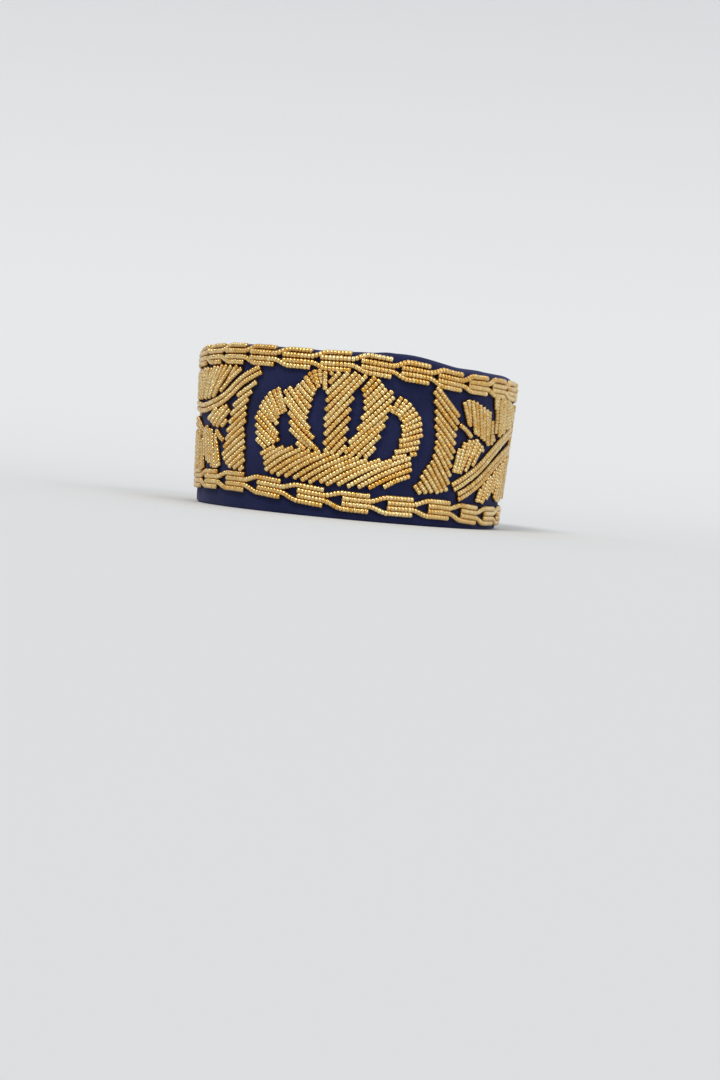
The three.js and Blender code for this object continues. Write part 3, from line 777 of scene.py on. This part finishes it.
def blurred(field, reach_u, reach_v):
    """Multiplies the field's spectrum by e to the power -2 (pi f reach)^2, where f counts waves in
    each cell. That smears each value over a round spot, which fades out over reach cells."""
    waves_v = np.fft.fftfreq(field.shape[0])[:, None] * reach_v
    waves_u = np.fft.fftfreq(field.shape[1])[None, :] * reach_u
    gauss = np.exp(-2 * (math.pi * np.hypot(waves_u, waves_v)) ** 2)
    return np.real(np.fft.ifft2(np.fft.fft2(field) * gauss))


u_wall = np.arange(WALL_COLS) * PERIMETER / WALL_COLS
v_wall = np.linspace(HEM_ROLL, wall_top, WALL_ROWS)
cell_u = PERIMETER / WALL_COLS
cell_v = (wall_top - HEM_ROLL) / (WALL_ROWS - 1)
sewn = np.vstack(motifs + list(chain_pieces.values()))
cols = np.round(sewn[:, 0] / cell_u).astype(int) % WALL_COLS
rows = np.clip(np.round((sewn[:, 1] - HEM_ROLL) / cell_v).astype(int), 0, WALL_ROWS - 1)
held = np.zeros((WALL_ROWS, WALL_COLS))
np.add.at(held, (rows, cols), 1)
held = blurred(held, STITCH_REACH / cell_u, STITCH_REACH / cell_v)
# The cloth is held all the way down where it is sewn more closely than on this many percent of it
FULLY_HELD = 85
held = np.clip(held / np.percentile(held, FULLY_HELD), 0, 1)
print("beads sewn on:", len(sewn), "mean hold: %.2f" % held.mean())

# %% The side wall
# The loose cloth stands this far out, and all of it lies in by SUNK_IN, in mm
PUFF = 0.35
SUNK_IN = 0.1
# Soft unevenness of the stiffened wall: its reach and its spread in mm
UNEVEN_REACH = 9
UNEVEN_SPREAD = 0.12
uneven = blurred(rng.normal(0, 1, held.shape), UNEVEN_REACH / cell_u, UNEVEN_REACH / cell_v)
uneven *= UNEVEN_SPREAD / uneven.std()
puff = PUFF * (1 - held) - SUNK_IN + uneven
outer = on_wall(u_wall[None, :], v_wall[:, None], puff)

# The hem is rolled round from the outer face to the inner one on an ellipse
HEM_MIDDLE = VELVET_WALL / 2
HEM_HALF = 1.05
angle_wall = angle_at(u_wall)
hem = []
for t in np.radians([20, 50, 90, 130, 160]):
    hem.append(placed(angle_wall, HEM_MIDDLE - HEM_HALF * np.cos(t), HEM_ROLL - HEM_ROLL * np.sin(t)))

# The top edge rolls down into its seam: rows of inset and height
SEAM_ROLL = [(6.0, 89.7), (6.15, 89.2), (6.0, 88.5), (5.4, 88.0), (3.4, 87.3), (2.3, 85.8)]
roll = [placed(angle_wall, inset, height) for inset, height in SEAM_ROLL]
inside_heights = np.linspace(WALL_HEIGHT - SHOULDER_RADIUS, HEM_ROLL, 16)
inside = [placed(angle_wall, VELVET_WALL, height) for height in inside_heights]
wall_grid = np.stack([*hem[::-1], *outer, *roll, *inside])
cloth("velvet_wall", wall_grid, ["side_wall"], velvet)

# %% [markdown]
# ## The top and the lining
#
# The top is velvet over stiffening: a shallow dome that rolls down into the seam, with small puckers
# where it is eased in. The lining is thin cloth that follows the inside and stops short of the hem.
# A flattened sphere could be cut to shape for each, but both close in the middle, so each is a grid
# of rings between two poles, which needs no cutting and stays closed.

# %% The top panel
TOP_COLS = 300
# The puckers: how many columns one spreads over, their height, and how far in from the seam they
# reach, in mm
PUCKER_COLS = 2.2
PUCKER_SPREAD = 0.28
PUCKER_REACH = 5
SEAM_INSET = 7
# The velvet's face is this much higher than the CAD dome, for its pile
DOME_LIFT = 0.1
angle_top = angle_at(np.arange(TOP_COLS) * PERIMETER / TOP_COLS)


def dome_height(inset, depth):
    """A parabola: DOME_RISE above the edge in the middle, and level with it at the edge."""
    share = (FORM_RADIUS - inset) / (FORM_RADIUS - SHOULDER_RADIUS)
    return WALL_HEIGHT - depth + DOME_RISE * (1 - share * share)


puckers = blurred(rng.normal(0, 1, (1, TOP_COLS)), PUCKER_COLS, 0)[0]
puckers *= PUCKER_SPREAD / puckers.std()
# The insets of the rings: below from the middle outwards, and above from the seam to the middle
under = np.linspace(88, 8, 12)
over = np.concatenate([np.linspace(7.2, 16, 12), np.linspace(19, 88, 26)])
# The edge rolls down into the seam: rows of inset and height
EDGE_ROLL = [(6.9, 88.3), (6.45, 88.9), (6.5, 89.4), (6.8, 89.8)]
top_rows = [placed(angle_top, inset, dome_height(inset, VELVET_WALL)) for inset in under]
top_rows += [placed(angle_top, inset, height) for inset, height in EDGE_ROLL]
for inset in over:
    fade = math.exp(-((inset - SEAM_INSET) / PUCKER_REACH) ** 2)
    top_rows.append(placed(angle_top, inset, dome_height(inset, 0) + DOME_LIFT + puckers * fade))
top_poles = [
    (0, 0, dome_height(FORM_RADIUS, VELVET_WALL)),
    (0, 0, dome_height(FORM_RADIUS, 0) + DOME_LIFT)]
cloth("velvet_top", np.stack(top_rows), ["top_panel"], velvet, top_poles)

# %% The lining
LINING_COLS = 360
# Soft upright folds: how many columns one spreads over, their depth in mm, and where they end
FOLD_COLS = 4
FOLD_SPREAD = 0.25
FOLD_TOP = 80
angle_lining = angle_at(np.arange(LINING_COLS) * PERIMETER / LINING_COLS)
lining_outside = VELVET_WALL + GAP
lining_inside = lining_outside + LINING_WALL
folds = blurred(rng.normal(0, 1, (1, LINING_COLS)), FOLD_COLS, 0)[0]
folds *= FOLD_SPREAD / folds.std()


def cup_rows(depth, ripple):
    """Rings of one face, at a depth inside the velvet: from the middle of the top out to the
    shoulder, round its quarter circle, and down to the lining's edge. ripple is the share of the
    folds that this face follows."""
    radius = SHOULDER_RADIUS - depth
    rings = [(inset, dome_height(inset, depth)) for inset in np.linspace(88, 12, 14)]
    for bend in np.radians([90, 60, 30, 0]):
        rings.append((SHOULDER_RADIUS - radius * math.cos(bend),
                      WALL_HEIGHT - SHOULDER_RADIUS + radius * math.sin(bend)))
    rings += [(depth, height) for height in np.linspace(78, LINING_LIFT + 0.6, 24)]
    return [placed(angle_lining, inset + ripple * folds * (h < FOLD_TOP), h) for inset, h in rings]


# The lining's edge is rolled round a half circle of half its thickness
half = LINING_WALL / 2
hem_rows = []
for t in np.radians([35, 90, 145]):
    inset = lining_outside + half + half * math.cos(t)
    hem_rows.append(placed(angle_lining, inset, LINING_LIFT + half - half * math.sin(t)))
lining_rows = [*cup_rows(lining_inside, 1), *hem_rows, *cup_rows(lining_outside, 0)[::-1]]
lining_poles = [(0, 0, dome_height(FORM_RADIUS, lining_inside)),
                (0, 0, dome_height(FORM_RADIUS, lining_outside))]
cloth("lining_cup", np.stack(lining_rows), ["lining"], lining_cloth, lining_poles)

# %% [markdown]
# ## The set
#
# The cap stands on its rim on a roll of pale paper, as in a photographer's studio: the floor runs
# back and turns up into a backdrop, with no line between them. Two planes would be simpler, but
# would meet in a line behind the cap.

# %% Floor and backdrop
# In mm: the bend's radius and where it starts, the front edge, where the even rows start, and half
# the width
SWEEP_RADIUS = 1200.0
SWEEP_START = 700.0
SWEEP_FRONT = -2600
SWEEP_ROWS_FROM = -1500
SWEEP_HALF_WIDTH = 3200
flat_y = np.concatenate([[SWEEP_FRONT], np.linspace(SWEEP_ROWS_FROM, SWEEP_START, 12)])
bend = np.linspace(0, math.pi / 2, 24)[1:]
sweep_y = np.concatenate([flat_y, SWEEP_START + SWEEP_RADIUS * np.sin(bend)])
sweep_z = np.concatenate([np.zeros(len(flat_y)), SWEEP_RADIUS * (1 - np.cos(bend))])
sweep_x = np.linspace(-SWEEP_HALF_WIDTH, SWEEP_HALF_WIDTH, 9)
sweep = np.stack(np.broadcast_arrays(sweep_x[None, :], sweep_y[:, None], sweep_z[:, None]), -1)

# Uncoated paper: matt, with hardly any gloss, so that it shows only light and shadow
paper, tree, shader = new_material("seamless_paper_pale_grey")
shader.inputs["Base Color"].default_value = linear("#D6D9DC")
shader.inputs["Roughness"].default_value = 0.9
shader.inputs["Specular IOR Level"].default_value = 0.1
rows, cols = sweep.shape[:2]
row, col = np.arange(rows - 1)[:, None], np.arange(cols - 1)[None, :]
corners = [row * cols + col, row * cols + col + 1, (row + 1) * cols + col + 1, (row + 1) * cols + col]
mesh = bpy.data.meshes.new("paper_sweep")
mesh.from_pydata(sweep.reshape(-1, 3) * MM, [], np.stack(corners, -1).reshape(-1, 4).tolist())
mesh.shade_smooth()
mesh.materials.append(paper)
floor = bpy.data.objects.new("paper_sweep", mesh)
bpy.context.scene.collection.objects.link(floor)
print("floor and backdrop:", len(mesh.polygons), "faces")

# %% [markdown]
# ### The light
#
# Bright gold and dark velvet both show in the photograph, so its light is broad and soft: a main
# light from the front left, a weaker one from the right and one from above. Area lamps would do
# this, but they light the floor in spots. A sun with a wide disc is as soft and even everywhere.

# %% Lights
def soft_sun(name, away, strength, spread, colour="#FFFFFF"):
    """A sun that shines from a direction, as seen from the cap, out of a disc that is spread
    degrees wide. A lamp shines down its own -Z, so it is tipped by the angle between up and the
    direction, and then turned round to face it."""
    light = bpy.data.lights.new(name, "SUN")
    light.energy, light.angle = strength, math.radians(spread)
    light.color = linear(colour)[:3]
    lamp = bpy.data.objects.new(name, light)
    lamp.location = away
    tip = math.atan2(math.hypot(away[0], away[1]), away[2])
    lamp.rotation_euler = (tip, 0, math.atan2(away[0], -away[1]))
    bpy.context.scene.collection.objects.link(lamp)
    print("light", name, "strength", strength)


soft_sun("key", (-0.45, -1.0, 1.35), 1.35, 20, "#FFF8EE")
soft_sun("fill", (1.0, -0.9, 0.7), 0.65, 36)
soft_sun("above", (0.1, 0.2, 1.0), 0.45, 50)
world = bpy.data.worlds.new("studio")
world.use_nodes = True
room = world.node_tree.nodes["Background"]
room.inputs["Color"].default_value = linear("#EDEFF2")
room.inputs["Strength"].default_value = 0.58
bpy.context.scene.world = world
bpy.context.scene.view_settings.view_transform = "Standard"

# %% [markdown]
# ### The camera
#
# The photograph was taken from below the rim's plane. The camera can't go under the floor, so it
# keeps the photograph's distance, lens and turn, and is just above the floor. It could be aimed by
# a Track To constraint, but the cap is above the middle of the picture and leans a little, so its
# rotation is made up from four turns instead.

# %% Camera
LENS_MM = 50
# Blender measures the sensor along the picture's longer side, which is its height here
SENSOR_MM = 36
IMAGE_WIDTH, IMAGE_HEIGHT = 720, 1080
# In metres: the cap's middle, the distance to it, and the camera's height
CAP_MIDDLE = np.array([0, 0, 0.045])
DISTANCE = 0.904
CAMERA_HEIGHT = 0.026
# How far the camera stands round to the right of the cap's front, and how far the picture leans
TURN = math.radians(5.6)
ROLL = math.radians(5.4)
# The pixel of the photograph where the cap's middle lies, from its top left corner
CAP_PIXEL = (353, 440)

camera_data = bpy.data.cameras.new("camera")
camera_data.lens, camera_data.sensor_width = LENS_MM, SENSOR_MM
camera_data.clip_start = 0.01
camera = bpy.data.objects.new("camera", camera_data)
bpy.context.scene.collection.objects.link(camera)
bpy.context.scene.camera = camera
rise = CAP_MIDDLE[2] - CAMERA_HEIGHT
along_floor = math.sqrt(DISTANCE**2 - rise**2)
stand = np.array([along_floor * math.sin(TURN), -along_floor * math.cos(TURN), CAMERA_HEIGHT])
camera.location = stand
print("camera at", stand.round(4))

# The camera first looks straight at the cap's middle. The lean rolls it, and the pitch and the yaw
# turn it off the middle by the angle of so many pixels, which puts the middle on its pixel.
to_cap = CAP_MIDDLE - stand
lens_pixels = LENS_MM * IMAGE_HEIGHT / SENSOR_MM
off_x = (CAP_PIXEL[0] - IMAGE_WIDTH / 2) / lens_pixels
off_y = (IMAGE_HEIGHT / 2 - CAP_PIXEL[1]) / lens_pixels
aim = camera.rotation_euler
aim.x = math.pi / 2 + math.atan2(to_cap[2], along_floor)
aim.z = math.atan2(-to_cap[0], to_cap[1])
lean = Matrix.Rotation(ROLL, 3, "Z")
pitch = Matrix.Rotation(-math.atan(off_y), 3, "X")
yaw = Matrix.Rotation(math.atan(off_x), 3, "Y")
camera.rotation_euler = (aim.to_matrix() @ lean @ pitch @ yaw).to_euler()
